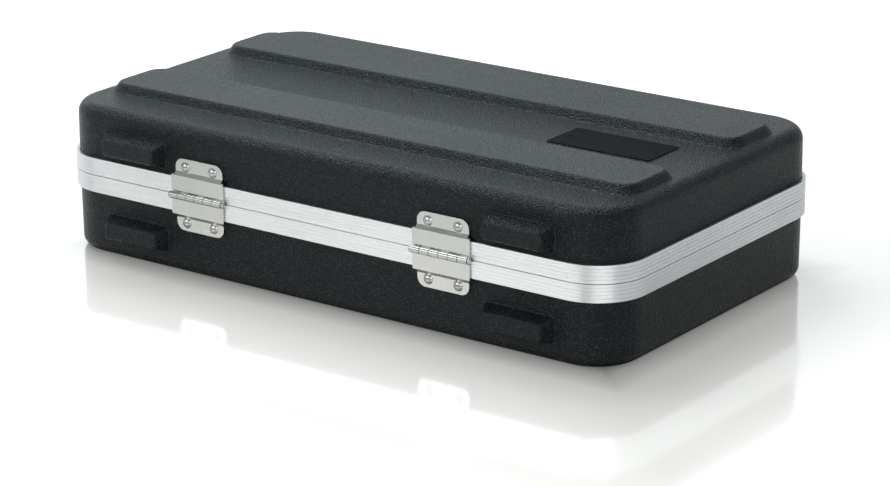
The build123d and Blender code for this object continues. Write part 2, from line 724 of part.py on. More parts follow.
with BuildPart() as handle_bracket:
    with BuildSketch(front_wall):
        with Locations((0, bracket_centre_height)):
            RectangleRounded(bracket_width, bracket_height, 4)
    extrude(amount=bracket_thickness)
    with BuildSketch(*sections(front_section, (-ear_middle, ear_middle))):
        with Locations((handle_pivot_out / 2, handle_pivot_height)):
            Rectangle(handle_pivot_out, 2 * ear_radius)
        with Locations((handle_pivot_out, handle_pivot_height)):
            Circle(ear_radius)
    extrude(amount=ear_thickness / 2, both=True)
    with BuildSketch(front_section):
        with Locations((handle_pivot_out, handle_pivot_height)):
            Circle(handle_pin_radius + pin_gap)
    extrude(amount=bracket_width, both=True, mode=Mode.SUBTRACT)
    with BuildSketch(front_wall):
        with Locations((0, bracket_centre_height)):
            with GridLocations(bracket_rivet_spacing_x, bracket_rivet_spacing_z, 2, 2):
                Circle(rivet_shank_radius * small_rivet_scale + body_gap)
    extrude(amount=bracket_thickness, mode=Mode.SUBTRACT)

with BuildPart() as handle_pin:
    with BuildSketch(front_section):
        with Locations((handle_pivot_out, handle_pivot_height)):
            Circle(handle_pin_radius)
    extrude(amount=ear_middle + ear_thickness, both=True)

for side, place in (("left", -bracket_offset), ("right", bracket_offset)):
    keep(handle_bracket.part.moved(Location((place, 0, 0))), f"handle_{side}_bracket")
    keep(handle_pin.part.moved(Location((place, 0, 0))), f"handle_{side}_pin")

bracket_rivet = rivet(small_rivet_scale, wall + bracket_thickness)
with BuildPart() as handle_rivets:
    with Locations(*wall_spots(front_wall.offset(bracket_thickness), bracket_rivet_spots)):
        add(bracket_rivet)
keep(handle_rivets.part, "handle_rivets")

grip_length = 2 * bracket_offset + lug_width
with BuildPart() as handle_grip:
    with BuildSketch(front_section):
        with Locations((grip_out, grip_level)):
            RectangleRounded(grip_depth, grip_height, grip_round)
    extrude(amount=grip_length / 2, both=True)
    grip_ends = handle_grip.faces().sort_by(Axis.X)
    fillet(grip_ends[0].edges() + grip_ends[-1].edges(), grip_end_round)
    with BuildSketch(*sections(front_section, (-bracket_offset, bracket_offset))):
        with Locations((handle_pivot_out, handle_pivot_height)):
            Circle(lug_radius)
        with Locations((handle_pivot_out, (handle_pivot_height + grip_level) / 2)):
            Rectangle(2 * lug_radius, grip_drop)
    extrude(amount=lug_width / 2, both=True)
    with BuildSketch(Plane.XZ.offset(half_width)):
        with Locations((0, grip_level + grip_height / 2 + finger_radius - finger_depth)):
            with GridLocations(2 * (bracket_offset - lug_width) / finger_count, 0, finger_count, 1):
                Circle(finger_radius)
    extrude(amount=2 * grip_depth, mode=Mode.SUBTRACT)
    with BuildSketch(front_section):
        with Locations((handle_pivot_out, handle_pivot_height)):
            Circle(handle_pin_radius + pin_gap)
    extrude(amount=grip_length, both=True, mode=Mode.SUBTRACT)
keep(handle_grip.part, "handle_grip")

# foam
foam_floor_top = wall + foam_gap + foam_floor_thickness
base_soft = shell_cavity(base_rim, base_rim - wall, base_edge_radius, foam_gap, False)
flange_inset = 2 * (valance_flange + flange_gap + wall + foam_gap / 2)

with BuildPart() as foam_floor:
    add(base_soft)
    split(bisect_by=Plane.XY.offset(foam_floor_top), keep=Keep.BOTTOM)
keep(foam_floor.part, "foam_floor")

with BuildPart() as foam_tray:
    with BuildSketch(Plane.XY.offset(foam_floor_top + foam_joint)):
        RectangleRounded(shell_length - flange_inset, shell_width - flange_inset,
                         corner_radius - flange_inset / 2)
    extrude(amount=tray_top - foam_floor_top - foam_joint)
    with BuildSketch(Plane.XY.offset(foam_floor_top)):
        for number in range(mic_count):
            end = 1 if number % 2 else -1
            with Locations((mic_first + number * mic_pitch, 0)):
                with Locations((0, end * mic_head_reach)):
                    Circle(mic_head_radius)
                Polygon((-mic_neck_width / 2, end * mic_head_reach),
                        (-mic_tail_width / 2, -end * mic_tail_reach),
                        (mic_tail_width / 2, -end * mic_tail_reach),
                        (mic_neck_width / 2, end * mic_head_reach), align=None)
        with Locations((bay_start + bay_length / 2, 0)):
            RectangleRounded(bay_length, bay_width, bay_corner)
    extrude(amount=tray_top, mode=Mode.SUBTRACT)
keep(foam_tray.part, "foam_tray")

lid_soft = shell_cavity(lid_rim, lid_top - wall - lid_rim, lid_edge_radius, foam_gap, True)
with BuildPart() as lid_foam:
    add(lid_soft)
    split(bisect_by=Plane.XY.offset(lid_foam_bottom), keep=Keep.TOP)
keep(lid_foam.part, "lid_foam")

# name plate
plate_rivet_spots = [(plate_offset + step * (plate_length / 2 - plate_rivet_inset), 0) for step in (-1, 1)]
with BuildPart() as name_plate:
    with BuildSketch(Plane.XY.offset(lid_top)):
        with Locations((plate_offset, 0)):
            RectangleRounded(plate_length, plate_width, plate_corner)
    extrude(amount=plate_thickness)
keep(name_plate.part, "name_plate")

with BuildPart() as plate_rivets:
    with BuildSketch(Plane.XY.offset(lid_top + plate_thickness)):
        with Locations(*plate_rivet_spots):
            Circle(plate_rivet_radius)
    extrude(amount=plate_rivet_height, taper=30)
keep(plate_rivets.part, "name_plate_rivets")
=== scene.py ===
import math

import bmesh
import bpy
from mathutils import Matrix, Vector


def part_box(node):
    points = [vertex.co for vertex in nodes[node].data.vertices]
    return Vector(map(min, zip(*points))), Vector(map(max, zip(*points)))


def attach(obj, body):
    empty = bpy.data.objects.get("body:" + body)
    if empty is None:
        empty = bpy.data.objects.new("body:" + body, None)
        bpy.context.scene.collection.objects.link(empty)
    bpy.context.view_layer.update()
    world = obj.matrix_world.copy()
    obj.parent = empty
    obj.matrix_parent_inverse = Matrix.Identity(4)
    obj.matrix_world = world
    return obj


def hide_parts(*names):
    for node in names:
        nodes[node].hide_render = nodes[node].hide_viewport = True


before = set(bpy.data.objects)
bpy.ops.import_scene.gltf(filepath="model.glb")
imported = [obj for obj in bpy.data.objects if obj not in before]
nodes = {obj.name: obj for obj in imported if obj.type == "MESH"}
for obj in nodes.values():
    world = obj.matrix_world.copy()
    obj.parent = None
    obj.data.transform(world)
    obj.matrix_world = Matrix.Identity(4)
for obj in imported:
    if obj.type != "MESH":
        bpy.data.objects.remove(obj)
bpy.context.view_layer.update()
print("case: frame loaded,", len(nodes), "nodes")


# node helpers
def newMaterial(name):
    material = bpy.data.materials.new(name)
    material.use_nodes = True
    tree = material.node_tree
    tree.nodes.clear()
    output = tree.nodes.new("ShaderNodeOutputMaterial")
    shader = tree.nodes.new("ShaderNodeBsdfPrincipled")
    tree.links.new(shader.outputs["BSDF"], output.inputs["Surface"])
    return material, tree, shader


def newGroup(name, inputs, outputs):
    group = bpy.data.node_groups.new(name, "ShaderNodeTree")
    for label, default in inputs:
        socket = group.interface.new_socket(label, in_out="INPUT", socket_type="NodeSocketFloat")
        socket.default_value = default
    for label in outputs:
        group.interface.new_socket(label, in_out="OUTPUT", socket_type="NodeSocketFloat")
    return group, group.nodes.new("NodeGroupInput"), group.nodes.new("NodeGroupOutput")


def addNode(tree, kind, **settings):
    node = tree.nodes.new(kind)
    for key, value in settings.items():
        setattr(node, key, value)
    return node


def wire(tree, source, target):
    tree.links.new(source, target)


def feed(tree, value, socket):
    # a plain number is set on the socket, anything else is wired to it
    if isinstance(value, (int, float)):
        socket.default_value = value
    else:
        wire(tree, value, socket)


def mathNode(tree, operation, *values, clamp=False):
    node = addNode(tree, "ShaderNodeMath", operation=operation, use_clamp=clamp)
    for socket, value in zip(node.inputs, values):
        feed(tree, value, socket)
    return node.outputs[0]


def mapNode(tree, source, span, onto=(0.0, 1.0), **settings):
    node = addNode(tree, "ShaderNodeMapRange", **settings)
    for label, value in zip(("From Min", "From Max", "To Min", "To Max"), (*span, *onto)):
        node.inputs[label].default_value = value
    wire(tree, source, node.inputs["Value"])
    return node.outputs["Result"]


def noiseNode(tree, where, scale, detail=2.0, rough=0.5, seed=None):
    node = addNode(tree, "ShaderNodeTexNoise", noise_dimensions="3D" if seed is None else "4D")
    wire(tree, where, node.inputs["Vector"])
    feed(tree, scale, node.inputs["Scale"])
    node.inputs["Detail"].default_value = detail
    node.inputs["Roughness"].default_value = rough
    if seed is not None:
        wire(tree, seed, node.inputs["W"])
    return node


def rampNode(tree, source, stops):
    node = addNode(tree, "ShaderNodeValToRGB")
    elements = node.color_ramp.elements
    while len(elements) < len(stops):
        elements.new(0.5)
    for element, (spot, colour) in zip(elements, stops):
        element.position = spot
        element.color = (*colour, 1.0)
    wire(tree, source, node.inputs["Fac"])
    return node.outputs["Color"]


def blendNode(tree, factor, base, colour):
    node = addNode(tree, "ShaderNodeMix", data_type="RGBA")
    wire(tree, factor, node.inputs["Factor"])
    wire(tree, base, node.inputs["A"])
    node.inputs["B"].default_value = (*colour, 1.0)
    return node.outputs["Result"]


def placeGroup(tree, group, **values):
    node = addNode(tree, "ShaderNodeGroup", node_tree=group)
    for key, value in values.items():
        node.inputs[key].default_value = value
    return node.outputs


def softNormal(tree, radius, samples):
    node = addNode(tree, "ShaderNodeBevel", samples=samples)
    feed(tree, radius, node.inputs["Radius"])
    return node.outputs["Normal"]


def bumpInto(tree, shader, height, strength, distance, under=None):
    bump = addNode(tree, "ShaderNodeBump")
    bump.inputs["Strength"].default_value = strength
    bump.inputs["Distance"].default_value = distance
    wire(tree, height, bump.inputs["Height"])
    if under is not None:
        wire(tree, under, bump.inputs["Normal"])
    wire(tree, bump.outputs["Normal"], shader.inputs["Normal"])


# leathery grain of thermoformed plastic: rounded pebbles that vary in size
pebbleShape = {"driftScale": 260.0, "softness": 0.35, "fineScale": 1900.0, "fineShare": 0.3,
               "peaksFrom": (0.75, 1.05), "polishedGlintFrom": (0.62, 0.98), "crownFrom": (0.55, 0.25)}


def makePebbleGrain(shape):
    group, given, made = newGroup("pebbleGrain", [("Pebbles", 700.0), ("Wander", 0.3)],
                                  ["Height", "Peaks", "Glints"])
    place = addNode(group, "ShaderNodeTexCoord").outputs["Object"]
    drift = noiseNode(group, place, shape["driftScale"])
    shift = addNode(group, "ShaderNodeVectorMath", operation="SCALE")
    wire(group, drift.outputs["Color"], shift.inputs[0])
    wire(group, mathNode(group, "DIVIDE", given.outputs["Wander"], given.outputs["Pebbles"]),
         shift.inputs["Scale"])
    moved = addNode(group, "ShaderNodeVectorMath", operation="ADD")
    wire(group, place, moved.inputs[0])
    wire(group, shift.outputs["Vector"], moved.inputs[1])
    pebbles = addNode(group, "ShaderNodeTexVoronoi", feature="SMOOTH_F1")
    pebbles.inputs["Smoothness"].default_value = shape["softness"]
    picked = addNode(group, "ShaderNodeTexVoronoi", feature="F1")
    for cells in (pebbles, picked):
        wire(group, given.outputs["Pebbles"], cells.inputs["Scale"])
        wire(group, moved.outputs["Vector"], cells.inputs["Vector"])
    fine = noiseNode(group, place, shape["fineScale"])
    domes = mathNode(group, "SUBTRACT", 1.0, pebbles.outputs["Distance"])
    height = mathNode(group, "ADD", domes,
                      mathNode(group, "MULTIPLY", fine.outputs["Fac"], shape["fineShare"]))
    wire(group, height, made.inputs["Height"])
    wire(group, mapNode(group, height, shape["peaksFrom"]), made.inputs["Peaks"])
    # one pebble in a few has a polished crown: lower roughness, and in the plastics a painted glint, a
    # lighter colour standing in for the highlight it would catch
    parts = addNode(group, "ShaderNodeSeparateColor")
    wire(group, picked.outputs["Color"], parts.inputs["Color"])
    chosen = mapNode(group, parts.outputs["Red"], shape["polishedGlintFrom"])
    crown = mapNode(group, picked.outputs["Distance"], shape["crownFrom"])
    wire(group, mathNode(group, "MULTIPLY", chosen, crown), made.inputs["Glints"])
    return group


# broad, soft change of polish and tone that handling and dust leave
handlingShape = {"broadDetail": 4.0, "broadRough": 0.62, "speckScale": 620.0, "speckDetail": 1.0,
                 "speckFrom": (0.66, 0.76)}


def makeHandling(shape):
    group, given, made = newGroup("handling", [("Size", 9.0), ("Seed", 0.0)], ["Smudge", "Dust"])
    place = addNode(group, "ShaderNodeTexCoord").outputs["Object"]
    broad = noiseNode(group, place, given.outputs["Size"], shape["broadDetail"], shape["broadRough"],
                      given.outputs["Seed"])
    wire(group, broad.outputs["Fac"], made.inputs["Smudge"])
    specks = noiseNode(group, place, shape["speckScale"], shape["speckDetail"],
                       seed=given.outputs["Seed"])
    wire(group, mapNode(group, specks.outputs["Fac"], shape["speckFrom"]), made.inputs["Dust"])
    return group


# lines that a die or a rolling mill leaves; they run along the axes whose Stretch is small
lineShape = {"detail": 3.0, "rough": 0.6}


def makeDrawnLines(shape):
    group, given, made = newGroup("drawnLines", [("Lines", 1500.0), ("Stretch X", 0.01),
                                                 ("Stretch Y", 0.01), ("Stretch Z", 1.0)], ["Lines"])
    place = addNode(group, "ShaderNodeTexCoord").outputs["Object"]
    stretch = addNode(group, "ShaderNodeCombineXYZ")
    for axis in "XYZ":
        wire(group, given.outputs["Stretch " + axis], stretch.inputs[axis])
    scaled = addNode(group, "ShaderNodeVectorMath", operation="MULTIPLY")
    wire(group, place, scaled.inputs[0])
    wire(group, stretch.outputs["Vector"], scaled.inputs[1])
    lines = noiseNode(group, scaled.outputs["Vector"], given.outputs["Lines"], shape["detail"],
                      shape["rough"])
    wire(group, lines.outputs["Fac"], made.inputs["Lines"])
    return group


# strong where a face turns sharply, from the angle between its normal and one softened over the edge; the
# metals use it for worn edges, the plastics for a painted highlight along their edges
wearAndHighlightShape = {"samples": 4, "sharpness": 5.0}


def makeEdgeWear(shape):
    group, given, made = newGroup("edgeWear", [("Reach", 0.0006), ("Breakup", 160.0)], ["Wear"])
    surface = addNode(group, "ShaderNodeNewGeometry")
    agree = addNode(group, "ShaderNodeVectorMath", operation="DOT_PRODUCT")
    wire(group, softNormal(group, given.outputs["Reach"], shape["samples"]), agree.inputs[0])
    wire(group, surface.outputs["Normal"], agree.inputs[1])
    place = addNode(group, "ShaderNodeTexCoord").outputs["Object"]
    breakup = noiseNode(group, place, given.outputs["Breakup"])
    bend = mathNode(group, "SUBTRACT", 1.0, agree.outputs["Value"])
    sharpness = mathNode(group, "MULTIPLY", breakup.outputs["Fac"], shape["sharpness"])
    wire(group, mathNode(group, "MULTIPLY", bend, sharpness, clamp=True), made.inputs["Wear"])
    return group


# open cells of polyurethane foam
cellShape = {"clumpScale": 330.0, "clumpDetail": 3.0, "clumpShare": 0.7}


def makeFoamCells(shape):
    group, given, made = newGroup("foamCells", [("Cells", 1500.0)], ["Height", "Pits"])
    place = addNode(group, "ShaderNodeTexCoord").outputs["Object"]
    cells = addNode(group, "ShaderNodeTexVoronoi", feature="F1")
    wire(group, place, cells.inputs["Vector"])
    wire(group, given.outputs["Cells"], cells.inputs["Scale"])
    clumps = noiseNode(group, place, shape["clumpScale"], shape["clumpDetail"])
    height = mathNode(group, "ADD", cells.outputs["Distance"],
                      mathNode(group, "MULTIPLY", clumps.outputs["Fac"], shape["clumpShare"]))
    wire(group, height, made.inputs["Height"])
    pits = mathNode(group, "SUBTRACT", 1.0, cells.outputs["Distance"], clamp=True)
    wire(group, pits, made.inputs["Pits"])
    return group


pebbleGrain = makePebbleGrain(pebbleShape)
handling = makeHandling(handlingShape)
drawnLines = makeDrawnLines(lineShape)
edgeWear = makeEdgeWear(wearAndHighlightShape)
foamCells = makeFoamCells(cellShape)
print("case: effect groups made")

# moulded plastic; lowEdge and highEdge are edge radii in metres, used below and above the heights turnsAt
plasticShared = {"wander": 0.35, "touchSize": 7.0, "rubHighlightBreakup": 900.0, "smudgeShare": 0.35,
                 "peakHighlightShare": 0.65, "toneFrom": (0.30, 0.95), "smudgeDulls": 0.16, "specular": 0.26,
                 "tint": (0.83, 0.965, 1.0, 1.0), "edgeSamples": 6, "turnsAt": (0.104, 0.114)}
shellFinish = {**plasticShared, "name": "pebbledShell", "seed": 2.0, "dark": (0.0014, 0.0018, 0.0021),
               "light": (0.0235, 0.0286, 0.0308), "paintedGlint": (0.050, 0.054, 0.056), "rough": 0.21,
               "polish": 0.18, "pebbles": 860.0, "depth": 0.00072, "strength": 1.0, "lowEdge": 0.0006,
               "highEdge": 0.0034, "rubHighlight": 1.2, "rubHighlightReach": 0.0022}
gripFinish = {**plasticShared, "name": "mouldedGrip", "seed": 5.0, "dark": (0.010, 0.0105, 0.011),
              "light": (0.020, 0.021, 0.022), "paintedGlint": (0.030, 0.031, 0.032), "rough": 0.38,
              "polish": 0.05, "pebbles": 1300.0, "depth": 0.0001, "strength": 0.5, "lowEdge": 0.001,
              "highEdge": 0.001, "rubHighlight": 0.3, "rubHighlightReach": 0.001}


def mouldedPlastic(finish):
    material, tree, shader = newMaterial(finish["name"])
    grain = placeGroup(tree, pebbleGrain, Pebbles=finish["pebbles"], Wander=finish["wander"])
    touch = placeGroup(tree, handling, Size=finish["touchSize"], Seed=finish["seed"])
    rubbedHighlight = placeGroup(tree, edgeWear, Reach=finish["rubHighlightReach"], Breakup=finish["rubHighlightBreakup"])
    # lighter where the pebbles peak: a painted highlight on the grain's crowns, mixed with the handling
    # smudge tone
    tone = mathNode(tree, "ADD", mathNode(tree, "MULTIPLY", touch["Smudge"], finish["smudgeShare"]),
                    mathNode(tree, "MULTIPLY", grain["Peaks"], finish["peakHighlightShare"]))
    darkest, lightest = finish["toneFrom"]
    grained = rampNode(tree, tone, [(darkest, finish["dark"]), (lightest, finish["light"])])
    # convex edges are lightened and polished: a painted highlight along the rib crests and pad outlines,
    # together with rubbed wear
    shine = mathNode(tree, "MAXIMUM", grain["Glints"],
                     mathNode(tree, "MULTIPLY", rubbedHighlight["Wear"], finish["rubHighlight"], clamp=True))
    # the chosen pebbles and the rubbed edges are mixed towards the painted glint colour: painted
    # highlight
    wire(tree, blendNode(tree, shine, grained, finish["paintedGlint"]), shader.inputs["Base Color"])
    dull = mathNode(tree, "MULTIPLY_ADD", touch["Smudge"], finish["smudgeDulls"], finish["rough"])
    wire(tree, mathNode(tree, "SUBTRACT", dull, mathNode(tree, "MULTIPLY", shine, finish["polish"])),
         shader.inputs["Roughness"])
    shader.inputs["Specular IOR Level"].default_value = finish["specular"]
    shader.inputs["Specular Tint"].default_value = finish["tint"]
    # formed edges turn softly, most of all those of the lid's ribs
    apart = addNode(tree, "ShaderNodeSeparateXYZ")
    wire(tree, addNode(tree, "ShaderNodeTexCoord").outputs["Object"], apart.inputs["Vector"])
    radius = mapNode(tree, apart.outputs["Z"], finish["turnsAt"], (finish["lowEdge"], finish["highEdge"]))
    bumpInto(tree, shader, grain["Height"], finish["strength"], finish["depth"],
             softNormal(tree, radius, finish["edgeSamples"]))
    return material


# metals; the drawn lines run along the axes where stretch is small, and the plate is lacquered black
metalShared = {"touchSize": 24.0, "wearReach": 0.0005, "wearBreakup": 220.0, "toneFrom": (0.30, 0.66),
               "bare": (0.86, 0.86, 0.85), "smudgeDulls": 0.14, "linesDull": 0.06, "strength": 0.35,
               "depth": 0.000006, "edgeSamples": 4, "softEdge": 0.0003, "metallic": 1.0, "gloss": 0.5}
valanceFinish = {**metalShared, "name": "satinValance", "seed": 1.0, "low": (0.70, 0.71, 0.72),
                 "high": (0.84, 0.85, 0.86), "rough": 0.23, "lines": 1300.0, "share": 0.45,
                 "stretch": (0.004, 0.004, 1.0), "wear": 0.15, "softEdge": 0.0007}
nickelFinish = {**metalShared, "name": "nickelStrap", "seed": 3.0, "low": (0.46, 0.465, 0.445),
                "high": (0.56, 0.565, 0.545), "rough": 0.13, "lines": 2200.0, "share": 0.15,
                "stretch": (1.0, 1.0, 0.02), "wear": 0.5}
headFinish = {**metalShared, "name": "nickelHeads", "seed": 4.0, "low": (0.40, 0.40, 0.39),
              "high": (0.56, 0.555, 0.54), "rough": 0.03, "lines": 900.0, "share": 0.3,
              "stretch": (1.0, 1.0, 1.0), "wear": 0.2}
castFinish = {**metalShared, "name": "nickelCasting", "seed": 6.0, "low": (0.48, 0.48, 0.47),
              "high": (0.66, 0.66, 0.645), "rough": 0.23, "lines": 700.0, "share": 0.5,
              "stretch": (0.6, 0.6, 0.6), "wear": 0.4}
plateFinish = {**metalShared, "name": "barePlate", "seed": 7.0, "low": (0.004, 0.005, 0.006),
               "high": (0.010, 0.011, 0.013), "rough": 0.39, "lines": 1800.0, "share": 0.6,
               "stretch": (0.01, 1.0, 1.0), "wear": 0.1, "metallic": 0.0, "gloss": 0.02}


def rolledMetal(finish):
    material, tree, shader = newMaterial(finish["name"])
    shader.inputs["Metallic"].default_value = finish["metallic"]
    shader.inputs["Specular IOR Level"].default_value = finish["gloss"]
    alongX, alongY, alongZ = finish["stretch"]
    lines = placeGroup(tree, drawnLines, **{"Lines": finish["lines"], "Stretch X": alongX,
                                            "Stretch Y": alongY, "Stretch Z": alongZ})
    touch = placeGroup(tree, handling, Size=finish["touchSize"], Seed=finish["seed"])
    edges = placeGroup(tree, edgeWear, Reach=finish["wearReach"], Breakup=finish["wearBreakup"])
    blend = mathNode(tree, "ADD", mathNode(tree, "MULTIPLY", lines["Lines"], finish["share"]),
                     mathNode(tree, "MULTIPLY", touch["Smudge"], 1.0 - finish["share"]))
    darkest, lightest = finish["toneFrom"]
    colour = rampNode(tree, blend, [(darkest, finish["low"]), (lightest, finish["high"])])
    worn = mathNode(tree, "MULTIPLY", edges["Wear"], finish["wear"])
    wire(tree, blendNode(tree, worn, colour, finish["bare"]), shader.inputs["Base Color"])
    dull = mathNode(tree, "MULTIPLY_ADD", touch["Smudge"], finish["smudgeDulls"], finish["rough"])
    wire(tree, mathNode(tree, "MULTIPLY_ADD", lines["Lines"], finish["linesDull"], dull),
         shader.inputs["Roughness"])
    bumpInto(tree, shader, lines["Lines"], finish["strength"], finish["depth"],
             softNormal(tree, finish["softEdge"], finish["edgeSamples"]))
    return material


foamFinish = {"name": "cutFoam", "seed": 8.0, "pit": (0.010, 0.010, 0.011), "skin": (0.040, 0.041, 0.044),
              "cells": 1300.0, "touchSize": 11.0, "pitShare": 0.7, "smudgeShare": 0.35,
              "toneFrom": (0.25, 0.95), "rough": 0.96, "dustDulls": -0.1, "specular": 0.2, "sheen": 0.12,
              "depth": 0.0005, "strength": 0.8}


def opencellFoam(finish):
    material, tree, shader = newMaterial(finish["name"])
    cells = placeGroup(tree, foamCells, Cells=finish["cells"])
    touch = placeGroup(tree, handling, Size=finish["touchSize"], Seed=finish["seed"])
    fleck = mathNode(tree, "ADD", mathNode(tree, "MULTIPLY", cells["Pits"], finish["pitShare"]),
                     mathNode(tree, "MULTIPLY", touch["Smudge"], finish["smudgeShare"]))
    darkest, lightest = finish["toneFrom"]
    wire(tree, rampNode(tree, fleck, [(darkest, finish["pit"]), (lightest, finish["skin"])]),
         shader.inputs["Base Color"])
    wire(tree, mathNode(tree, "MULTIPLY_ADD", touch["Dust"], finish["dustDulls"], finish["rough"]),
         shader.inputs["Roughness"])
    shader.inputs["Specular IOR Level"].default_value = finish["specular"]
    shader.inputs["Sheen Weight"].default_value = finish["sheen"]
    bumpInto(tree, shader, cells["Height"], finish["strength"], finish["depth"])
    return material


shellPlastic = mouldedPlastic(shellFinish)
gripPlastic = mouldedPlastic(gripFinish)
valanceMetal = rolledMetal(valanceFinish)
strapMetal = rolledMetal(nickelFinish)
headMetal = rolledMetal(headFinish)
castMetal = rolledMetal(castFinish)
plateMetal = rolledMetal(plateFinish)
foamCut = opencellFoam(foamFinish)
print("case: materials made")

finishOf = {
    "base_shell": shellPlastic, "lid_shell": shellPlastic, "handle_grip": gripPlastic,
    "base_valance": valanceMetal, "lid_valance": valanceMetal, "name_plate": plateMetal,
}
for name, item in nodes.items():
    if name in finishOf:
        finish = finishOf[name]
    elif "foam" in name:
        finish = foamCut
    elif name == "name_plate_rivets":
        finish = plateMetal
    elif "rivets" in name or name.endswith("_pin"):
        finish = headMetal
    elif name.startswith("lock") and name.split("_")[-1] in ("body", "bolt", "cylinder"):
        finish = castMetal
    else:
        finish = strapMetal
    item.data.materials.clear()
    item.data.materials.append(finish)
print("case: finishes on the packed nodes")


# foam pieces
def finishMesh(name, mesh, body, replaced):
    piece = bpy.data.objects.new(name, mesh)
    bpy.context.scene.collection.objects.link(piece)
    piece.data.materials.append(foamCut)
    for face in piece.data.polygons:
        face.use_smooth = True
    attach(piece, body)
    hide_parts(replaced)
    return piece


def roundedPoint(u, v, halfX, halfY, radius):
    # u and v run from -1 to 1; the corners of the square go to the rounded corners
    x, y = u * halfX, v * halfY
    overX = abs(x) - (halfX - radius)
    overY = abs(y) - (halfY - radius)
    if overX > 0 and overY > 0:
        length = math.hypot(overX, overY)
        scale = max(overX, overY) / length
        x = math.copysign(halfX - radius + overX * scale, x)
        y = math.copysign(halfY - radius + overY * scale, y)
    return x, y


def foamSlab(name, lines, faceHeight, rings):
    # a gridded face, then rings of its outline at (height, half sizes, corner), closed by one flat face
    across, along = lines
    mesh = bmesh.new()
    grid = []
    for j in range(across + 1):
        row = []
        for i in range(along + 1):
            u, v = 2 * i / along - 1, 2 * j / across - 1
            x, y = roundedPoint(u, v, rings[0][1], rings[0][2], rings[0][3])
            row.append(mesh.verts.new((x, y, faceHeight(x, y, max(abs(u), abs(v))))))
        grid.append(row)
    for j in range(across):
        for i in range(along):
            mesh.faces.new((grid[j][i], grid[j][i + 1], grid[j + 1][i + 1], grid[j + 1][i]))
    edge = [(0, i) for i in range(along)] + [(j, along) for j in range(across)]
    edge += [(across, i) for i in range(along, 0, -1)] + [(j, 0) for j in range(across, 0, -1)]
    loop = [grid[j][i] for j, i in edge]
    for height, halfX, halfY, radius in rings[1:]:
        ring = []
        for j, i in edge:
            x, y = roundedPoint(2 * i / along - 1, 2 * j / across - 1, halfX, halfY, radius)
            ring.append(mesh.verts.new((x, y, height)))
        for n in range(len(loop)):
            m = (n + 1) % len(loop)
            mesh.faces.new((loop[n], ring[n], ring[m], loop[m]))
        loop = ring
    mesh.faces.new(loop)
    bmesh.ops.recalc_face_normals(mesh, faces=mesh.faces)
    data = bpy.data.meshes.new(name)
    mesh.to_mesh(data)
    mesh.free()
    return data


lidFoamShape = {"trough": 0.012, "pitch": 0.032, "rim": 0.0075, "rimFrom": 0.97, "gridLines": (110, 210),
                "corner": 0.034, "faceInset": 0.0012, "wallInset": 0.002, "wallCorner": 0.033,
                "topInset": 0.0025, "topRound": 0.014, "topGap": 0.0006, "roundSteps": 6,
                "cornerShare": 0.8}


def makeLidFoam(shape):
    low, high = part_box("lid_foam")
    halfX, halfY = high.x, high.y

    def eggCrate(x, y, edge):
        wave = math.cos(math.pi * 2 * x / shape["pitch"]) * math.cos(math.pi * 2 * y / shape["pitch"])
        rim = shape["rim"] * max(0.0, edge - shape["rimFrom"]) / (1 - shape["rimFrom"])
        return low.z + (0.5 - 0.5 * wave) * shape["trough"] + rim

    turn = high.z - shape["topRound"]
    rings = [(low.z, halfX - shape["faceInset"], halfY - shape["faceInset"], shape["corner"]),
             (turn, halfX - shape["wallInset"], halfY - shape["wallInset"], shape["wallCorner"])]
    for step in range(1, shape["roundSteps"] + 1):
        angle = math.pi / 2 * step / shape["roundSteps"]
        inset = shape["topInset"] + shape["topRound"] * (1 - math.cos(angle))
        height = turn + shape["topRound"] * math.sin(angle) - shape["topGap"]
        corner = shape["corner"] - inset * shape["cornerShare"]
        rings.append((height, halfX - inset, halfY - inset, corner))
    data = foamSlab("eggCrateFoam", shape["gridLines"], eggCrate, rings)
    finishMesh("eggCrateFoam", data, "lid", "lid_foam")


trayShape = {"weld": 0.00005, "voxel": 0.0026, "rounds": 7, "softness": 0.5}


def makeTray(shape):
    # the die-cut layer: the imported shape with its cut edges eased, as knife-cut foam relaxes
    source = nodes["foam_tray"].data.copy()
    source.name = "pocketTray"
    piece = finishMesh("pocketTray", source, "base", "foam_tray")
    weld = piece.modifiers.new("weld", "WELD")
    weld.merge_threshold = shape["weld"]
    grid = piece.modifiers.new("grid", "REMESH")
    grid.mode = "VOXEL"
    grid.voxel_size = shape["voxel"]
    ease = piece.modifiers.new("ease", "SMOOTH")
    ease.factor = shape["softness"]
    ease.iterations = shape["rounds"]
    depsgraph = bpy.context.evaluated_depsgraph_get()
    eased = bpy.data.meshes.new_from_object(piece.evaluated_get(depsgraph))
    piece.modifiers.clear()
    piece.data = eased
    for face in piece.data.polygons:
        face.use_smooth = True


floorFoamShape = {"crown": 0.0006, "sink": 0.0008, "waves": (61.0, 57.0), "shift": 0.7,
                  "edgeRound": 0.004, "edgeFrom": 0.97, "gridLines": (40, 76), "corner": 0.034,
                  "faceInset": 0.0005, "wallInset": 0.0006, "wallCorner": 0.0335, "underInset": 0.0008,
                  "underRound": 0.011, "underDrop": 0.0108, "roundSteps": 5, "cornerShare": 0.8}


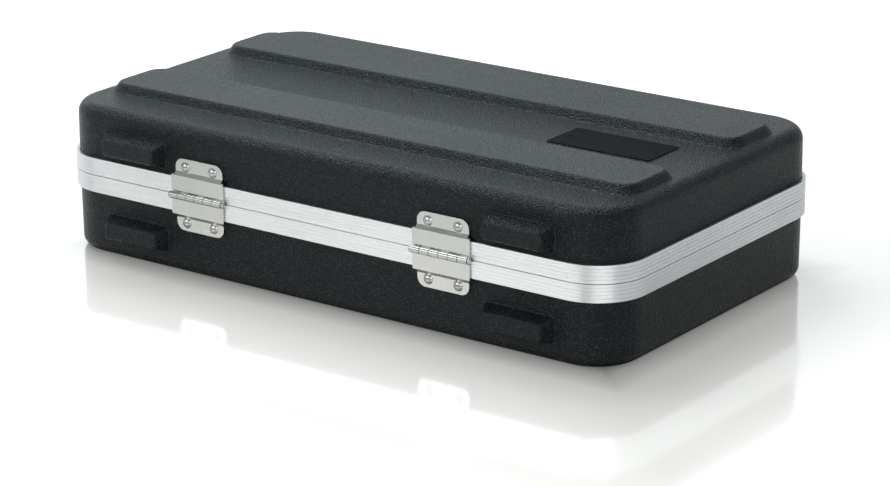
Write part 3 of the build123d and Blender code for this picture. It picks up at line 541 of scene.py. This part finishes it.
def makeFloorFoam(shape):
    low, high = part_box("foam_floor")
    halfX, halfY = high.x, high.y
    waveX, waveY = shape["waves"]

    def crowned(x, y, edge):
        ripple = math.sin(x * waveX) * math.sin(y * waveY + shape["shift"])
        eased = shape["edgeRound"] * max(0.0, edge - shape["edgeFrom"]) / (1 - shape["edgeFrom"])
        return high.z - shape["sink"] + shape["crown"] * ripple * (1 - edge ** 6) - eased

    turn = low.z + shape["underRound"]
    rings = [(high.z, halfX - shape["faceInset"], halfY - shape["faceInset"], shape["corner"]),
             (turn, halfX - shape["wallInset"], halfY - shape["wallInset"], shape["wallCorner"])]
    for step in range(1, shape["roundSteps"] + 1):
        angle = math.pi / 2 * step / shape["roundSteps"]
        inset = shape["underInset"] + shape["underRound"] * (1 - math.cos(angle))
        height = turn - shape["underDrop"] * math.sin(angle)
        corner = shape["corner"] - inset * shape["cornerShare"]
        rings.append((height, halfX - inset, halfY - inset, corner))
    data = foamSlab("floorFoam", shape["gridLines"], crowned, rings)
    finishMesh("floorFoam", data, "base", "foam_floor")


makeLidFoam(lidFoamShape)
print("case: egg-crate foam made")
makeTray(trayShape)
print("case: pocket tray made")
makeFloorFoam(floorFoamShape)
print("case: floor foam made")

# studio
studio = {
    "floorColour": (0.95, 0.915, 0.875), "floorDuller": 0.985, "floorTouch": 1.5, "floorSeed": 12.0,
    "floorRough": 0.10, "floorSize": 12.0, "floorLift": 0.36, "liftFrom": 1.15,
    "liftColour": (1.0, 0.985, 0.955, 1.0), "footprint": (0.235, 0.125), "sheenReach": 0.25,
    "sheen": [(0.0, 0.92), (0.06, 0.66), (0.16, 0.42), (0.45, 0.32), (0.85, 0.14), (1.0, 0.06)],
    "skyLow": 0.42, "skyHigh": 1.01, "skySide": (0.9, -0.35, 0.0), "skyEdge": (0.45, 1.0),
    "skyColour": (0.89, 0.965, 1.0, 1.0), "seenColour": (1.0, 1.0, 1.0, 1.0), "skySeen": 1.0,
    "lamps": [
        # name, place, aimed at, size, watts, colour
        ("overhead", (0.75, -0.35, 1.5), (0.0, 0.0, 0.08), (1.2, 0.9), 20.0, (0.89, 0.96, 1.0)),
        ("longSide", (0.62, 1.8, 0.95), (0.0, 0.14, 0.06), (1.8, 0.9), 10.2, (1.0, 0.99, 0.97)),
        ("farSide", (0.0, -1.9, 1.0), (0.0, -0.14, 0.05), (1.0, 0.6), 1.0, (1.0, 1.0, 1.0)),
        ("cornerFill", (-1.4, 1.3, 0.65), (-0.2, 0.1, 0.02), (1.3, 0.9), 5.5, (1.0, 1.0, 1.0)),
    ],
}


def makeFloor(settings):
    material, tree, shader = newMaterial("paleFloor")
    wear = placeGroup(tree, handling, Size=settings["floorTouch"], Seed=settings["floorSeed"])
    tone = settings["floorColour"]
    duller = tuple(part * settings["floorDuller"] for part in tone)
    wire(tree, rampNode(tree, wear["Smudge"], [(0.3, duller), (0.7, tone)]), shader.inputs["Base Color"])
    shader.inputs["Roughness"].default_value = settings["floorRough"]
    # the sheen fades away from the case's footprint
    apart = addNode(tree, "ShaderNodeSeparateXYZ")
    wire(tree, addNode(tree, "ShaderNodeTexCoord").outputs["Object"], apart.inputs["Vector"])
    beyond = [mathNode(tree, "SUBTRACT", mathNode(tree, "ABSOLUTE", apart.outputs[axis]), half)
              for axis, half in zip("XY", settings["footprint"])]
    away = mathNode(tree, "MAXIMUM", mathNode(tree, "MAXIMUM", *beyond), 0.0)
    sheen = rampNode(tree, mathNode(tree, "DIVIDE", away, settings["sheenReach"]),
                     [(spot, (share, share, share)) for spot, share in settings["sheen"]])
    wire(tree, sheen, shader.inputs["Metallic"])
    shader.inputs["Emission Color"].default_value = settings["liftColour"]
    rays = addNode(tree, "ShaderNodeLightPath")
    # the camera-only lift shrinks where the sheen is strong, so the floor next to the case stays darker:
    # painted contact shade
    liftWithPaintedShade = mathNode(tree, "MULTIPLY", mathNode(tree, "SUBTRACT", settings["liftFrom"], sheen),
                    settings["floorLift"])
    wire(tree, mathNode(tree, "MULTIPLY", rays.outputs["Is Camera Ray"], liftWithPaintedShade),
         shader.inputs["Emission Strength"])
    mesh = bmesh.new()
    bmesh.ops.create_grid(mesh, x_segments=4, y_segments=4, size=settings["floorSize"] / 2)
    data = bpy.data.meshes.new("studioFloor")
    mesh.to_mesh(data)
    mesh.free()
    floor = bpy.data.objects.new("studioFloor", data)
    bpy.context.scene.collection.objects.link(floor)
    floor.data.materials.append(material)


def makeSky(settings):
    world = bpy.data.worlds.new("studioSky")
    world.use_nodes = True
    tree = world.node_tree
    tree.nodes.clear()
    output = addNode(tree, "ShaderNodeOutputWorld")
    light = addNode(tree, "ShaderNodeBackground")
    light.inputs["Color"].default_value = settings["skyColour"]
    toward = addNode(tree, "ShaderNodeVectorMath", operation="DOT_PRODUCT")
    wire(tree, addNode(tree, "ShaderNodeTexCoord").outputs["Generated"], toward.inputs[0])
    toward.inputs[1].default_value = settings["skySide"]
    rise = mapNode(tree, toward.outputs["Value"], settings["skyEdge"],
                   (settings["skyLow"], settings["skyHigh"]), interpolation_type="SMOOTHSTEP")
    wire(tree, rise, light.inputs["Strength"])
    seen = addNode(tree, "ShaderNodeBackground")
    seen.inputs["Color"].default_value = settings["seenColour"]
    seen.inputs["Strength"].default_value = settings["skySeen"]
    rays = addNode(tree, "ShaderNodeLightPath")
    choose = addNode(tree, "ShaderNodeMixShader")
    wire(tree, rays.outputs["Is Camera Ray"], choose.inputs["Fac"])
    wire(tree, light.outputs["Background"], choose.inputs[1])
    wire(tree, seen.outputs["Background"], choose.inputs[2])
    wire(tree, choose.outputs["Shader"], output.inputs["Surface"])
    bpy.context.scene.world = world


def makeLamps(settings):
    for name, place, aim, size, watts, colour in settings["lamps"]:
        lamp = bpy.data.lights.new(name, "AREA")
        lamp.shape = "RECTANGLE"
        lamp.size, lamp.size_y = size
        lamp.energy = watts
        lamp.color = colour
        item = bpy.data.objects.new(name, lamp)
        item.location = place
        item.rotation_euler = (Vector(aim) - Vector(place)).to_track_quat("-Z", "Y").to_euler()
        bpy.context.scene.collection.objects.link(item)


# the photograph's view: angles in degrees, distance and target in metres, lens and sensor in millimetres
viewpoint = {"azimuth": 216.72, "elevation": 18.3361, "roll": -0.5062, "distance": 2.234023,
             "target": (-0.081972, 0.141783, 0.063997), "sensor": 36.0, "lens": 127.704,
             "shift": (0.03935, 0.00128)}


def makeCamera(settings):
    turn, rise, roll = (math.radians(settings[k]) for k in ("azimuth", "elevation", "roll"))
    back = Vector((math.sin(turn) * math.cos(rise), -math.cos(turn) * math.cos(rise), math.sin(rise)))
    right = (-back).cross(Vector((0, 0, 1))).normalized()
    up = right.cross(-back)
    rolledRight = right * math.cos(roll) + up * math.sin(roll)
    rolledUp = up * math.cos(roll) - right * math.sin(roll)
    lens = bpy.data.cameras.new("photoView")
    lens.sensor_width = settings["sensor"]
    lens.sensor_fit = "HORIZONTAL"
    lens.lens = settings["lens"]
    lens.shift_x, lens.shift_y = settings["shift"]
    camera = bpy.data.objects.new("photoView", lens)
    facing = Matrix((rolledRight, rolledUp, back)).transposed().to_4x4()
    facing.translation = Vector(settings["target"]) + back * settings["distance"]
    camera.matrix_world = facing
    bpy.context.scene.collection.objects.link(camera)
    bpy.context.scene.camera = camera


makeFloor(studio)
makeSky(studio)
makeLamps(studio)
makeCamera(viewpoint)
bpy.context.scene.view_settings.view_transform = "Standard"
print("case: studio set")
